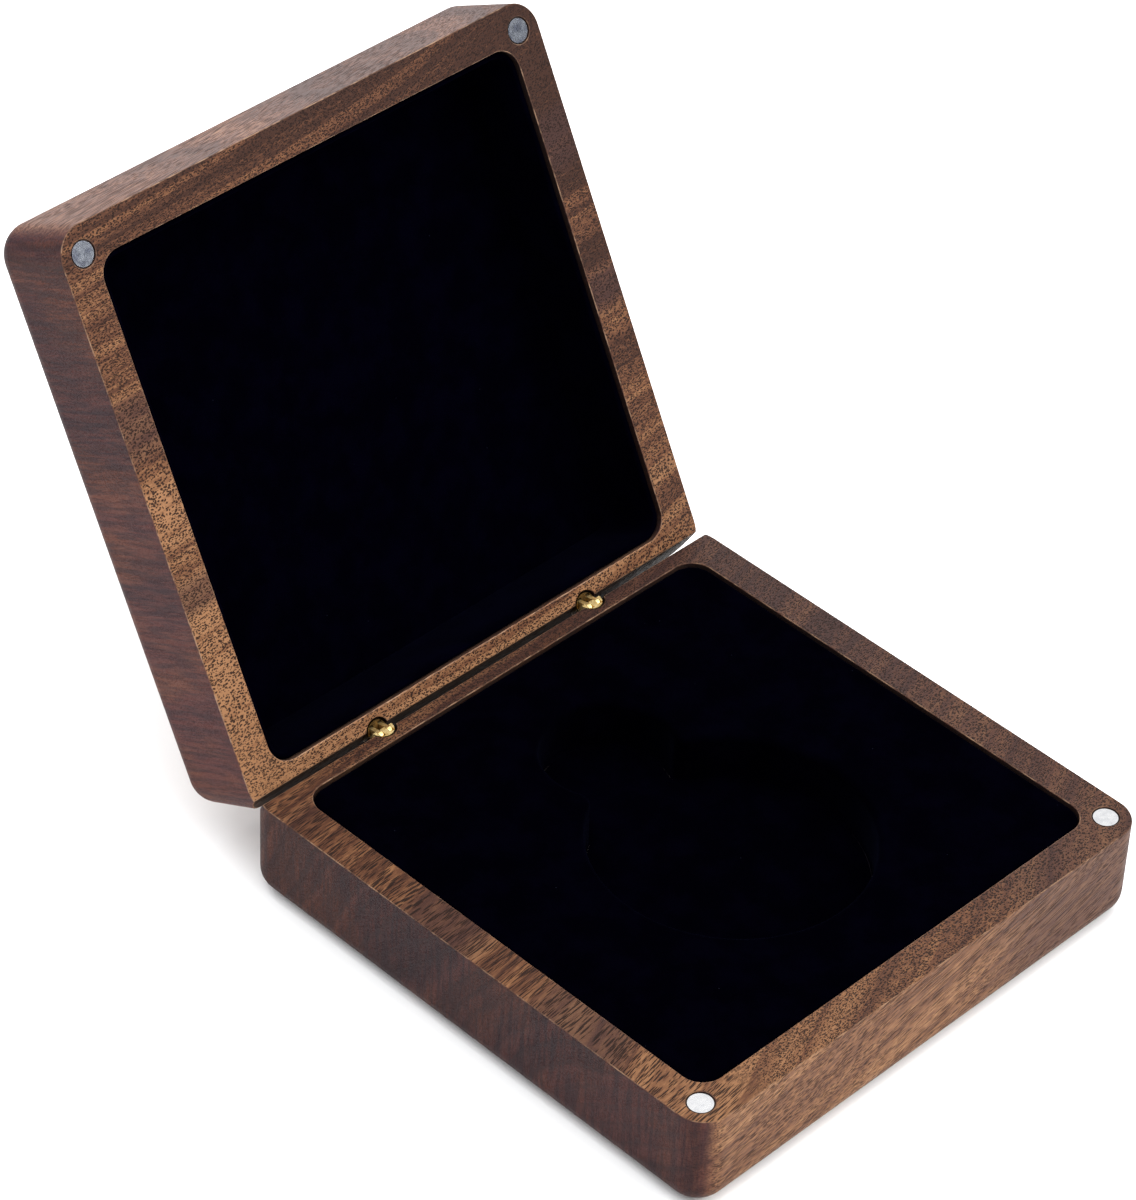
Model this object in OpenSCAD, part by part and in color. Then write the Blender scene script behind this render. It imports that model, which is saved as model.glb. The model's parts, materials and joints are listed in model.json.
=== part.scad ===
// Square walnut presentation box for one pocket watch.
// Two milled blocks, a shallow base and an equal lid, joined at the back by two
// concealed brass barrel hinges and held shut at the front by two pairs of magnets.
// Origin: centre of the base's underside. +X right, -Y front, +Y hinge side, +Z up.
// The lid stands open against the hinges' stops. Millimetres.

/* [Blocks] */
// Outside width of both blocks
box_w = 100; // [96:0.5:110]
// Outside depth of both blocks, front to back
box_d = 99; // [95:0.5:110]
// Height of the base block
base_h = 18.3; // [18:0.1:24]
// Height of the lid block
lid_h = 18.3; // [18:0.1:24]
// Width of the rim left around each milled pocket
rim_w = 6.2; // [5.9:0.1:8]
// Depth of the pocket milled in the base
base_pocket = 12.3; // [11:0.1:13]
// Depth of the pocket milled in the lid
lid_pocket = 15; // [12:0.1:15.3]
// Radius of the upright outer corners
corner_r = 5.2; // [4.5:0.1:6]
// Radius of the round-over along the underside of the base and the top of the lid
edge_r = 4; // [2:0.1:4.2]
// Radius of the pockets' upright corners
pocket_corner_r = 4; // [3:0.1:5]
// Gap between the two rims when the lid is shut
rim_gap = 0.1; // [0.05:0.05:0.3]

/* [Rear bevels] */
// How far the bevel at the back runs in across each rim
bevel_in = 3.5; // [3.4:0.05:3.6]
// How far the same bevel runs along each rear face
bevel_along = 5; // [4.8:0.1:5.4]

/* [Opening] */
// Angle between the two rims with the lid resting open
open_angle = 117.6; // [110:0.1:117.6]
// Turn of the link plates as a share of the turn of the lid
link_share = 0.875; // [0.86:0.001:0.89]

/* [Barrel hinges] */
// Distance of each hinge from the middle of the box
hinge_x = 23.4; // [18:0.1:30]
// Distance of the hinge pins from the rear face
pin_inset = 3; // [2.9:0.05:3.1]
// Distance of the barrels' axes from the rear face
barrel_inset = 2.6; // [2.55:0.05:2.8]
// Diameter of a barrel
barrel_d = 3.9; // [3.85:0.05:4.1]
// Length of a barrel
barrel_len = 9; // [7:0.5:10]
// How far a barrel's end lies below its rim
barrel_recess = 0.3; // [0.05:0.05:0.4]
// Width of the open ring around a barrel's end
barrel_ring_w = 0.45; // [0.2:0.05:0.5]
// Depth of that ring
barrel_ring_depth = 1.5; // [0.5:0.1:2]
// Where a barrel's own bevel meets the rim, measured from the rear face
barrel_bevel_in = 2.8; // [2.8:0.05:3]
// Distance between the two pins of one hinge
pin_spacing = 2.4; // [2.3:0.05:2.5]
// Diameter of a hinge pin
pin_d = 0.9; // [0.8:0.05:0.9]
// Length of a hinge pin
pin_len = 3.5; // [3.2:0.1:3.6]
// Radial play of a link plate on its base pin
pin_play = 0.05; // [0.02:0.01:0.1]
// How far the lid's pin shifts along the link plates while the lid turns
pin_shift = 0.16; // [0.16:0.01:0.2]
// Thickness of a link plate
link_t = 0.7; // [0.6:0.05:0.75]
// Radius of a link plate's round ends
link_end_r = 0.85; // [0.75:0.05:0.85]
// Thickness of the tongue between a barrel's two slots
tongue_t = 1; // [0.8:0.1:1]
// Width of each slot in a barrel
slot_w = 0.85; // [0.85:0.01:0.9]

/* [Magnets] */
// Diameter of a magnet
magnet_d = 4; // [3:0.5:4]
// Thickness of a magnet
magnet_t = 3; // [2:0.5:5]
// Distance of a magnet's centre from the side of the box
magnet_side = 4.25; // [4:0.05:4.5]
// Distance of a magnet's centre from the front of the box
magnet_front = 4.65; // [4:0.05:4.8]
// How far a magnet lies below its rim
magnet_recess = 0.2; // [0:0.05:0.5]

/* [Watch recess] */
// Diameter of the round recess for the watch case
case_recess_d = 45.8; // [40:0.1:50]
// Diameter of the smaller recess for the crown and bow
crown_recess_d = 22.4; // [18:0.1:26]
// Front-to-back place of the case recess
case_y = -7.5; // [-10:0.1:-5]
// Front-to-back place of the crown recess
crown_y = 19.4; // [17:0.1:22]

/* [Linings] */
// Thickness of the card that carries the insert
backing_t = 2; // [1:0.1:2.5]
// Thickness of the velvet on the insert, in the recess and on the lid's panel
velvet_t = 0.6; // [0.4:0.1:0.8]
// How far the insert's velvet lies below the rim
insert_drop = 0.5; // [0.3:0.1:1]
// Thickness of the card panel in the lid
panel_t = 0.8; // [0.5:0.1:2]
// Thickness of the strips that line the lid's walls
strip_t = 1; // [0.8:0.1:1.5]
// How far the lid's strips stop below the rim
strip_drop = 0.8; // [0.5:0.1:1.5]
// Play between a lining and the wood
lining_play = 0.1; // [0.05:0.05:0.2]

/* [Hidden] */
$fn = 96;

// Overshoot of a cutter past the face it opens through
cut = 1;
pocket_w = box_w - 2 * rim_w;
pocket_d = box_d - 2 * rim_w;
lining_w = pocket_w - 2 * lining_play;
lining_d = pocket_d - 2 * lining_play;
lining_corner_r = pocket_corner_r - lining_play;
// Shallow ring around each magnet
magnet_ring_w = 0.25;
magnet_ring_depth = 0.35;

// Heights inside the base
pocket_floor = base_h - base_pocket;
foam_bottom = pocket_floor + backing_t;
insert_top = base_h - insert_drop;
foam_t = insert_top - velvet_t - foam_bottom;
// Depth of the lid's hollow over its lining
hollow_depth = lid_pocket - panel_t - velvet_t;

// Hinge pins, shut: the base's pin below the meeting plane, the lid's above it
meeting_z = base_h + rim_gap / 2;
pin_y = box_d / 2 - pin_inset;
barrel_y = box_d / 2 - barrel_inset;
base_pin_z = meeting_z - pin_spacing / 2;
lid_pin_z = meeting_z + pin_spacing / 2;
// Turn of the link plates, and shift of the lid's pins, from shut to open
link_angle = open_angle * link_share;
pin_step_y = pin_spacing * sin(link_angle);
pin_step_z = pin_spacing * (cos(link_angle) - 1);
// The lid's turning axis: the one point that takes its pins through that shift
pivot_y = pin_y + pin_step_y / 2 + pin_step_z / 2 / tan(open_angle / 2);
pivot_z = lid_pin_z + pin_step_z / 2 - pin_step_y / 2 / tan(open_angle / 2);
// Slope of the rear bevels to the rim
bevel_angle = atan2(bevel_along, bevel_in);
// Slots: room around a link's end, and floor that falls towards the back
slot_room = 0.25;
slot_floor = pin_spacing / 2 + link_end_r + slot_room;
slot_floor_rear = slot_floor + 0.7;
slot_x = (tongue_t + slot_w) / 2;

wood = "#6e4a33";
velvet = "#0b0c16";
foam = "#26262c";
card = "#4a4540";
brass = "#c8a04a";
nickel = "#c9c9cc";

// ---------------------------------------------------------------- placing

// Moves what is drawn with the lid shut to where it is with the lid open
module lid_open() {
    translate([0, pivot_y, pivot_z])
        rotate([-open_angle, 0, 0])
            translate([0, -pivot_y, -pivot_z]) children();
}

// Moves link plates drawn upright to where they are with the lid open
module links_open() {
    translate([0, pin_y, base_pin_z])
        rotate([-link_angle, 0, 0])
            translate([0, -pin_y, -base_pin_z]) children();
}

// Mirrors what is drawn in the base across the meeting plane, into the shut lid
module in_lid() {
    translate([0, 0, meeting_z]) mirror([0, 0, 1]) translate([0, 0, -meeting_z]) children();
}

// ---------------------------------------------------------------- blocks

// Flat outline with round corners
module plan(w, d, r) {
    square([w - 2 * r, d], center = true);
    square([w, d - 2 * r], center = true);
    for (x = [-1, 1], y = [-1, 1])
        translate([x * (w / 2 - r), y * (d / 2 - r)]) circle(r);
}

// Upright section of width w whose two lower corners are rounded over
module section(w, h) {
    translate([-w / 2, edge_r]) square([w, h - edge_r]);
    translate([-w / 2 + edge_r, 0]) square([w - 2 * edge_r, h]);
    for (side = [-1, 1]) translate([side * (w / 2 - edge_r), edge_r]) circle(edge_r);
}

// Solid block with upright round corners and a rounded-over underside
module block(h) {
    for (x = [-1, 1], y = [-1, 1])
        translate([x * (box_w / 2 - corner_r), y * (box_d / 2 - corner_r), 0])
            rotate_extrude() intersection() {
                section(2 * corner_r, h);
                square([corner_r, h]);
            }
    rotate([90, 0, 90]) linear_extrude(box_w - 2 * corner_r, center = true) section(box_d, h);
    rotate([90, 0, 0]) linear_extrude(box_d - 2 * corner_r, center = true) section(box_w, h);
}

// Bevel across the back of the rim, which lets the lid swing past the base
module rear_bevel(h) {
    translate([0, box_d / 2 - bevel_in, h])
        rotate([-bevel_angle, 0, 0])
            translate([-box_w, -box_d / 8, 0]) cube([2 * box_w, box_d / 4, box_d / 4]);
}

// Bores for the magnets and the barrels, each with its ring at the rim
module fittings_cut(h) {
    for (x = [-1, 1]) {
        translate([x * (box_w / 2 - magnet_side), magnet_front - box_d / 2, h]) {
            translate([0, 0, -magnet_recess - magnet_t]) cylinder(d = magnet_d, h = magnet_t + cut);
            translate([0, 0, -magnet_ring_depth]) cylinder(d = magnet_d + 2 * magnet_ring_w, h = cut);
        }
        translate([x * hinge_x, barrel_y, h]) {
            translate([0, 0, -barrel_recess - barrel_len]) cylinder(d = barrel_d, h = barrel_len + cut);
            translate([0, 0, -barrel_ring_depth])
                cylinder(d = barrel_d + 2 * barrel_ring_w, h = barrel_ring_depth + cut);
        }
    }
}

// One milled block, drawn as the base: pocket, bevel, magnet bores and hinge bores
module milled_block(h, pocket) {
    difference() {
        block(h);
        translate([0, 0, h - pocket])
            linear_extrude(pocket + cut) plan(pocket_w, pocket_d, pocket_corner_r);
        rear_bevel(h);
        fittings_cut(h);
    }
}

module base_block() {
    color(wood) milled_block(base_h, base_pocket);
}

module lid_block() {
    color(wood) lid_open() in_lid() translate([0, 0, base_h - lid_h])
        milled_block(lid_h, lid_pocket);
}

// ---------------------------------------------------------------- insert

// Keyhole outline of the watch recess, grown by `grow` all round
module keyhole(grow = 0) {
    translate([0, case_y]) circle(d = case_recess_d + 2 * grow);
    translate([0, crown_y]) circle(d = crown_recess_d + 2 * grow);
}

module insert_backing() {
    color(card) translate([0, 0, pocket_floor])
        linear_extrude(backing_t) plan(lining_w, lining_d, lining_corner_r);
}

module insert_foam() {
    color(foam) translate([0, 0, foam_bottom]) linear_extrude(foam_t) difference() {
        plan(lining_w, lining_d, lining_corner_r);
        keyhole(velvet_t);
    }
}

module insert_velvet() {
    color(velvet) translate([0, 0, insert_top - velvet_t]) linear_extrude(velvet_t) difference() {
        plan(lining_w, lining_d, lining_corner_r);
        keyhole(velvet_t);
    }
}

module recess_wall_velvet() {
    color(velvet) translate([0, 0, foam_bottom]) linear_extrude(insert_top - foam_bottom) difference() {
        keyhole(velvet_t);
        keyhole();
    }
}

module recess_floor_velvet() {
    color(velvet) translate([0, 0, foam_bottom]) linear_extrude(velvet_t) keyhole();
}

// ---------------------------------------------------------------- lid linings

// Draws a lining in the open lid at a depth below its rim
module in_open_lid(depth) {
    lid_open() translate([0, 0, base_h + rim_gap + depth]) children();
}

module lid_panel_card() {
    color(card) in_open_lid(lid_pocket - panel_t)
        linear_extrude(panel_t) plan(lining_w, lining_d, lining_corner_r);
}

module lid_panel_velvet() {
    color(velvet) in_open_lid(hollow_depth)
        linear_extrude(velvet_t) plan(lining_w, lining_d, lining_corner_r);
}

// The four strips together, as one ring around the lid's wall
module strip_ring() {
    difference() {
        plan(lining_w, lining_d, lining_corner_r);
        plan(lining_w - 2 * strip_t, lining_d - 2 * strip_t, lining_corner_r - strip_t);
    }
}

// A strip across the front (side -1) or the back (side 1), with both round corners
module cross_strip(side) {
    color(velvet) in_open_lid(strip_drop) linear_extrude(hollow_depth - strip_drop) intersection() {
        strip_ring();
        translate([-box_w / 2, side > 0 ? lining_d / 2 - lining_corner_r : -box_d / 2])
            square([box_w, box_d / 2 - lining_d / 2 + lining_corner_r]);
    }
}

// A straight strip along the left (side -1) or the right (side 1)
module side_strip(side) {
    straight = lining_d - 2 * lining_corner_r;
    color(velvet) in_open_lid(strip_drop) linear_extrude(hollow_depth - strip_drop)
        translate([side * (lining_w - strip_t) / 2, 0]) square([strip_t, straight], center = true);
}

// ---------------------------------------------------------------- magnets

module magnet(side) {
    color(nickel)
        translate([side * (box_w / 2 - magnet_side), magnet_front - box_d / 2,
                   base_h - magnet_recess - magnet_t])
            cylinder(d = magnet_d, h = magnet_t);
}

// ---------------------------------------------------------------- hinges

// Slots that the two link plates swing in, open at the top and at the back
module barrel_slots() {
    for (x = [-slot_x, slot_x])
        translate([x, pin_y, meeting_z]) rotate([90, 0, 90]) linear_extrude(slot_w, center = true)
            polygon([
                [-link_end_r - slot_room, cut],
                [-link_end_r - slot_room, -slot_floor],
                [0, -slot_floor],
                [barrel_d / 2 + cut, -slot_floor_rear],
                [barrel_d / 2 + cut, cut]
            ]);
}

// Brass barrel, drawn in the base: bevelled at the back, slotted, bored across for its pin
module barrel(side) {
    color(brass) translate([side * hinge_x, 0, 0]) difference() {
        translate([0, barrel_y, base_h - barrel_recess - barrel_len])
            cylinder(d = barrel_d, h = barrel_len);
        translate([0, box_d / 2 - barrel_bevel_in, base_h]) rotate([-open_angle / 2, 0, 0])
            translate([-barrel_d, -box_d / 4, 0]) cube([2 * barrel_d, box_d / 2, barrel_d * 2]);
        barrel_slots();
        pin_body(pin_d);
    }
}

// Round rod along a hinge pin's axis
module pin_body(d) {
    translate([-pin_len / 2, pin_y, base_pin_z]) rotate([0, 90, 0]) cylinder(d = d, h = pin_len);
}

module hinge_pin(side) {
    color(nickel) translate([side * hinge_x, 0, 0]) pin_body(pin_d);
}

// Link plate with two round ends: a close bore on the base's pin, a wider one on the lid's
module link(x) {
    reach = pin_spacing + pin_shift / 2;
    color(brass) links_open() translate([x, pin_y, base_pin_z])
        rotate([90, 0, 90]) linear_extrude(link_t, center = true) difference() {
            union() {
                circle(link_end_r);
                translate([0, reach]) circle(link_end_r);
                translate([-link_end_r, 0]) square([2 * link_end_r, reach]);
            }
            circle(d = pin_d + 2 * pin_play);
            translate([0, reach]) circle(d = pin_d + pin_shift + pin_play);
        }
}

// ---------------------------------------------------------------- assembly

base_block();
insert_backing();
insert_foam();
insert_velvet();
recess_wall_velvet();
recess_floor_velvet();
magnet(-1);  // base_magnet_left
magnet(1);  // base_magnet_right
barrel(-1);  // base_barrel_left
barrel(1);  // base_barrel_right
hinge_pin(-1);  // base_pin_left
hinge_pin(1);  // base_pin_right

link(-hinge_x - slot_x);  // link_left_outer
link(-hinge_x + slot_x);  // link_left_inner
link(hinge_x - slot_x);  // link_right_inner
link(hinge_x + slot_x);  // link_right_outer

lid_block();
lid_panel_card();
lid_panel_velvet();
cross_strip(-1);  // lid_strip_front
cross_strip(1);  // lid_strip_rear
side_strip(-1);  // lid_strip_left
side_strip(1);  // lid_strip_right
lid_open() in_lid() magnet(-1);  // lid_magnet_left
lid_open() in_lid() magnet(1);  // lid_magnet_right
lid_open() in_lid() barrel(-1);  // lid_barrel_left
lid_open() in_lid() barrel(1);  // lid_barrel_right
lid_open() in_lid() hinge_pin(-1);  // lid_pin_left
lid_open() in_lid() hinge_pin(1);  // lid_pin_right
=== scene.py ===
"""Walnut presentation box for one pocket watch: the looks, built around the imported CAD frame."""
import json
import math

import bmesh
import bpy
import numpy as np
from mathutils import Euler, Matrix, Vector, noise


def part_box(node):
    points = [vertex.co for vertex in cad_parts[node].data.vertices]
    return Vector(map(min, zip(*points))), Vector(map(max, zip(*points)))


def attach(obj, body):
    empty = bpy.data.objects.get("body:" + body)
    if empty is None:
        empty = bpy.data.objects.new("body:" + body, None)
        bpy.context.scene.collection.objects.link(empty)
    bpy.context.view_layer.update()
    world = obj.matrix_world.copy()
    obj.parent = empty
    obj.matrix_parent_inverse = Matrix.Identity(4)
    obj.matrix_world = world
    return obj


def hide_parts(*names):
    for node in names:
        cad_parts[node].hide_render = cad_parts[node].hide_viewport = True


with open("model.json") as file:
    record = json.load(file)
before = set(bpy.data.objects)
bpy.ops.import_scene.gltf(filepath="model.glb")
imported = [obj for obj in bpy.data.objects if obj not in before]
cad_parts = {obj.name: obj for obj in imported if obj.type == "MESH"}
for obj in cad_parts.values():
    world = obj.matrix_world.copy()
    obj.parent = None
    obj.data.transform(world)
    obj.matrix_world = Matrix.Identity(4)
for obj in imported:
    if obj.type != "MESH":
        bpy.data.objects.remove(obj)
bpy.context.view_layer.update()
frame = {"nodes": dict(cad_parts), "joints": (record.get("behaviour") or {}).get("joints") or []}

# ------------------------------------------------------------------ sizes, in millimetres

MM = 0.001
RIM_W = 6.2              # rim left around each pocket
CORNER_R = 5.2           # upright outer corners
EDGE_R = 4.0             # round-over along the underside and the lid's top
POCKET_R = 4.0           # upright corners of the pockets
RIM_GAP = 0.1            # between the rims, shut
LID_POCKET = 15.0        # depth of the pocket in the lid
HOLLOW = 13.6            # depth of the lid's hollow over its lining
ARRIS = 0.2              # sanded radius of the rims' edges
BEVEL_IN, BEVEL_ALONG = 3.5, 5.0    # rear bevels, across the rim and along the rear face
RINGS = {"magnet": (0.25, 0.35), "barrel": (0.45, 1.5)}    # open ring around each: width, depth
PLAY = 0.1               # between a lining and the wood
KEY_CASE_R, KEY_CROWN_R = 22.9, 11.2    # the recess's two radii
KEY_CASE_Y, KEY_CROWN_Y = -7.5, 19.4    # and their centres
KEY_FILLET = 2.0         # where the two meet
VELVET_T = 0.5           # cloth thickness in the looks, 0.1 less than the CAD solid
STRIP_T, STRIP_DROP = 1.0, 0.8


def box_mm(node):
    """Lowest and highest corner of a CAD node at rest, in millimetres."""
    low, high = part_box(node)
    return low / MM, high / MM


base_low, base_high = box_mm("base_block")
BOX_W, BOX_D = base_high.x - base_low.x, base_high.y - base_low.y
BLOCK_H = base_high.z
LID_FACE = BLOCK_H + RIM_GAP    # height of the lid's rim, shut
POCKET_W, POCKET_D = BOX_W - 2 * RIM_W, BOX_D - 2 * RIM_W
LINING_W, LINING_D, LINING_R = POCKET_W - 2 * PLAY, POCKET_D - 2 * PLAY, POCKET_R - PLAY
BASE_POCKET = BLOCK_H - box_mm("insert_backing")[0].z
INSERT_TOP = box_mm("insert_velvet")[1].z
FLOOR_TOP = box_mm("recess_floor_velvet")[1].z
FOAM_LOW, FOAM_HIGH = (c.z for c in box_mm("insert_foam"))

hinge = next(j for j in frame["joints"] if j["name"] == "lid_hinge")
PIVOT = Vector(hinge["pos_m"])
OPEN_ANGLE = math.radians(hinge["range_deg"][1])
LID_OPEN = (Matrix.Translation(PIVOT) @ Matrix.Rotation(-OPEN_ANGLE, 4, "X")
            @ Matrix.Translation(-PIVOT))


# ------------------------------------------------------------------ camera, light and floor

CAMERA_AT = (-0.428296, -0.373828, 0.533463)
CAMERA_TURN = (50.0977, -2.1861, -44.8646)
CAMERA_LENS = 147.21
FLOOR_SIZE = 8.0
FLOOR_DROP = 0.00003     # keeps the floor just clear of the base's underside


def add_camera():
    data = bpy.data.cameras.new("camera")
    data.lens, data.sensor_width = CAMERA_LENS, 36
    data.clip_start, data.clip_end = 0.01, 50
    camera = bpy.data.objects.new("camera", data)
    camera.location = CAMERA_AT
    camera.rotation_euler = Euler([math.radians(a) for a in CAMERA_TURN])
    bpy.context.scene.collection.objects.link(camera)
    bpy.context.scene.camera = camera


# name: (place, aimed at, width, height, watts, colour)
SOFTBOXES = {
    "key": ((0.75, -1.20, 1.00), (0, 0, 0.05), 0.9, 0.9, 20, (1.0, 0.975, 0.94)),
    "top": ((-0.1, 0.1, 1.5), (0, 0, 0.05), 1.6, 1.6, 24, (1.0, 1.0, 1.0)),
    "backdrop": ((1.1, 1.5, 0.55), (0, 0, 0.08), 1.2, 0.8, 13, (1.0, 0.985, 0.99)),
}
WORLD_LIGHT = (0.97, 0.98, 1.0)
WORLD_LOW, WORLD_HIGH = 0.74, 1.25      # strength at the horizon and overhead
WORLD_DARK = 0.66                       # taken off near the horizon at the front right
DARK_SIDE = (0.71, -0.70, 0.0)


def studio_world():
    """Pale surroundings, brighter overhead and darker low down at the front right."""
    world = bpy.data.worlds.new("studio")
    world.use_nodes = True
    s = Shader(tree=world.node_tree)
    way = s.coordinates("Generated")
    rise = s.put("SeparateXYZ", {0: way}, "Z")
    strength = s.fade(rise, 0.1, 0.9, WORLD_LOW, WORLD_HIGH)
    dark = s.fade(s.vector("DOT_PRODUCT", way, DARK_SIDE), 0.35, 0.8, 0.0, WORLD_DARK)
    dark = s.math("MULTIPLY", dark, s.fade(rise, 0.25, 0.6, 1.0, 0.0))
    strength = s.math("SUBTRACT", strength, dark)
    lit = s.put("Background", {"Color": (*WORLD_LIGHT, 1), "Strength": strength})
    seen = s.put("Background", {"Color": (1.0, 1.0, 1.0, 1)})
    surface = s.put("MixShader", {0: s.put("LightPath", {}, "Is Camera Ray"), 1: lit, 2: seen})
    s.put("OutputWorld", {"Surface": surface})
    return world


def add_lights():
    for name, (place, aim, width, height, watts, colour) in SOFTBOXES.items():
        data = bpy.data.lights.new(name, "AREA")
        data.shape, data.size, data.size_y = "RECTANGLE", width, height
        data.energy, data.color = watts, colour
        light = bpy.data.objects.new(name, data)
        light.location = place
        light.rotation_euler = (Vector(aim) - Vector(place)).to_track_quat("-Z", "Y").to_euler()
        light.visible_camera = False
        bpy.context.scene.collection.objects.link(light)
    bpy.context.scene.world = studio_world()
    bpy.context.scene.view_settings.view_transform = "Standard"


# ------------------------------------------------------------------ shader helper

class Shader:
    """A material whose nodes are added one call at a time; every call returns a socket."""

    def __init__(self, name=None, tree=None):
        if tree is None:
            self.material = bpy.data.materials.new(name)
            self.material.use_nodes = True
            tree = self.material.node_tree
        self.nodes, self.links = tree.nodes, tree.links
        self.nodes.clear()

    def put(self, kind, inputs, out=0, **settings):
        node = self.nodes.new("ShaderNode" + kind)
        for key, value in settings.items():
            setattr(node, key, value)
        for key, value in inputs.items():
            if isinstance(value, bpy.types.NodeSocket):
                self.links.new(value, node.inputs[key])
            elif value is not None:
                node.inputs[key].default_value = value
        return node.outputs[out] if len(node.outputs) else None

    def coordinates(self, kind="Object"):
        return self.put("TexCoord", {}, kind)

    def math(self, operation, a, b=None, c=None, clamp=False):
        given = {k: v for k, v in enumerate((a, b, c)) if v is not None}
        return self.put("Math", given, operation=operation, use_clamp=clamp)

    def vector(self, operation, a, b=None, scale=None):
        given = {0: a, 1: b, "Scale": scale}
        out = "Value" if operation in ("DOT_PRODUCT", "LENGTH") else "Vector"
        return self.put("VectorMath", given, out, operation=operation)

    def place(self, vector, location=(0, 0, 0), rotation=(0, 0, 0), scale=(1, 1, 1)):
        turn = tuple(math.radians(a) for a in rotation)
        given = {"Vector": vector, "Location": location, "Rotation": turn, "Scale": scale}
        return self.put("Mapping", given)

    def noise(self, vector, scale, detail, roughness=0.5, out="Fac"):
        given = {"Vector": vector, "Scale": scale, "Detail": detail, "Roughness": roughness}
        return self.put("TexNoise", given, out)

    def cells(self, vector, scale=1.0, out="Distance"):
        return self.put("TexVoronoi", {"Vector": vector, "Scale": scale}, out)

    def fade(self, value, start, end, low=0.0, high=1.0):
        """Maps value smoothly from start..end to low..high, held at both ends."""
        given = {0: value, 1: start, 2: end, 3: low, 4: high}
        return self.put("MapRange", given, interpolation_type="SMOOTHSTEP")

    def ramp(self, value, stops):
        node = self.nodes.new("ShaderNodeValToRGB")
        self.links.new(value, node.inputs[0])
        ramp = node.color_ramp
        while len(ramp.elements) < len(stops):
            ramp.elements.new(0.5)
        for element, (at, colour) in zip(ramp.elements, stops):
            element.position, element.color = at, (*colour, 1)
        return node.outputs["Color"]

    def mix(self, factor, a, b, blend="MIX"):
        node = self.nodes.new("ShaderNodeMix")
        node.data_type, node.blend_type = "RGBA", blend
        for socket, value in zip((node.inputs[0], node.inputs[6], node.inputs[7]), (factor, a, b)):
            if isinstance(value, bpy.types.NodeSocket):
                self.links.new(value, socket)
            else:
                socket.default_value = (*value, 1) if isinstance(value, tuple) else value
        return node.outputs[2]

    def bump(self, height, distance, strength):
        return self.put("Bump", {"Height": height, "Distance": distance, "Strength": strength})

    def finish(self, **inputs):
        """Principled surface; names use _ for a space."""
        given = {key.replace("_", " "): value for key, value in inputs.items()}
        for key, value in given.items():
            if isinstance(value, tuple) and len(value) == 3:
                given[key] = (*value, 1)
        surface = self.put("BsdfPrincipled", given)
        self.put("OutputMaterial", {"Surface": surface})
        return self.material


# ------------------------------------------------------------------ walnut

WALNUT_STOPS = [
    (0.00, (0.038, 0.0145, 0.0085)),
    (0.25, (0.076, 0.031, 0.0165)),
    (0.50, (0.132, 0.058, 0.029)),
    (0.75, (0.200, 0.097, 0.046)),
    (1.00, (0.290, 0.152, 0.075)),
]
PURPLE_BAND = (0.048, 0.023, 0.022)
PORE_COLOUR = (0.016, 0.007, 0.005)
# the end grain's darker tone together with painted shade and a cool cast on the side faces
END_GRAIN_AND_SHADE_TINT = (0.375, 0.245, 0.475)
END_GRAIN_GOLD = (1.45, 1.55, 1.05)
# painted highlight colour along the rims' sanded edges
EDGE_HIGHLIGHT_PAINT = (0.36, 0.24, 0.16)
# painted shade inside the block: its colour and its strength
INSIDE_SHADE_COLOUR, INSIDE_SHADE_STRENGTH = (0.010, 0.006, 0.005), 0.85
# how each block lay in its log (mm, degrees), with the log's centre line at pith
BASE_LOG = {"shift": (11.0, 4.0, 2.0), "turn": (3.0, 3.0, -4.0),
            "pith": (0.0, -64.0, -38.0), "seed": 3.7}
LID_LOG = {"shift": (57.0, 16.0, 9.0), "turn": (-4.0, 3.0, 4.0),
           "pith": (0.0, -80.0, 46.0), "seed": 9.2}
# drift: rise of the tone per mm to the right, back and top; purple_from (mm): start of the darker
# wood at the right; streaks_to (mm): left of it the fibres lie level and the rim shows streaks;
# the face tint: front and rear faces, lightened and whitened as painted sheen
BASE_WOOD = {"drift": (-0.0016, -0.0030, 0.0), "lift": 0.02,
             "purple_from": 16.0, "streaks_to": -38.0,
             "tint": (0.67, 0.60, 0.54), "face_sheen_tint": (1.66, 1.82, 1.98)}
LID_WOOD = {"drift": (-0.0058, 0.0104, 0.0), "lift": 0.11,
            "purple_from": 90.0, "streaks_to": -90.0,
            "tint": (0.92, 0.86, 0.82), "face_sheen_tint": (1.50, 1.68, 2.14)}
# cut vessels in two layers each: length and spacing (mm), reach and share
DASHES = ((9.0, 0.32, 0.46, 1.1), (4.5, 0.24, 0.45, 1.1))
DOTS = ((0.72, 0.36, 0.47, 1.4), (0.42, 0.26, 0.47, 1.3))
STREAKS = ((6.0, 0.30, 0.45, 1.3), (3.5, 0.24, 0.45, 1.2))


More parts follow.
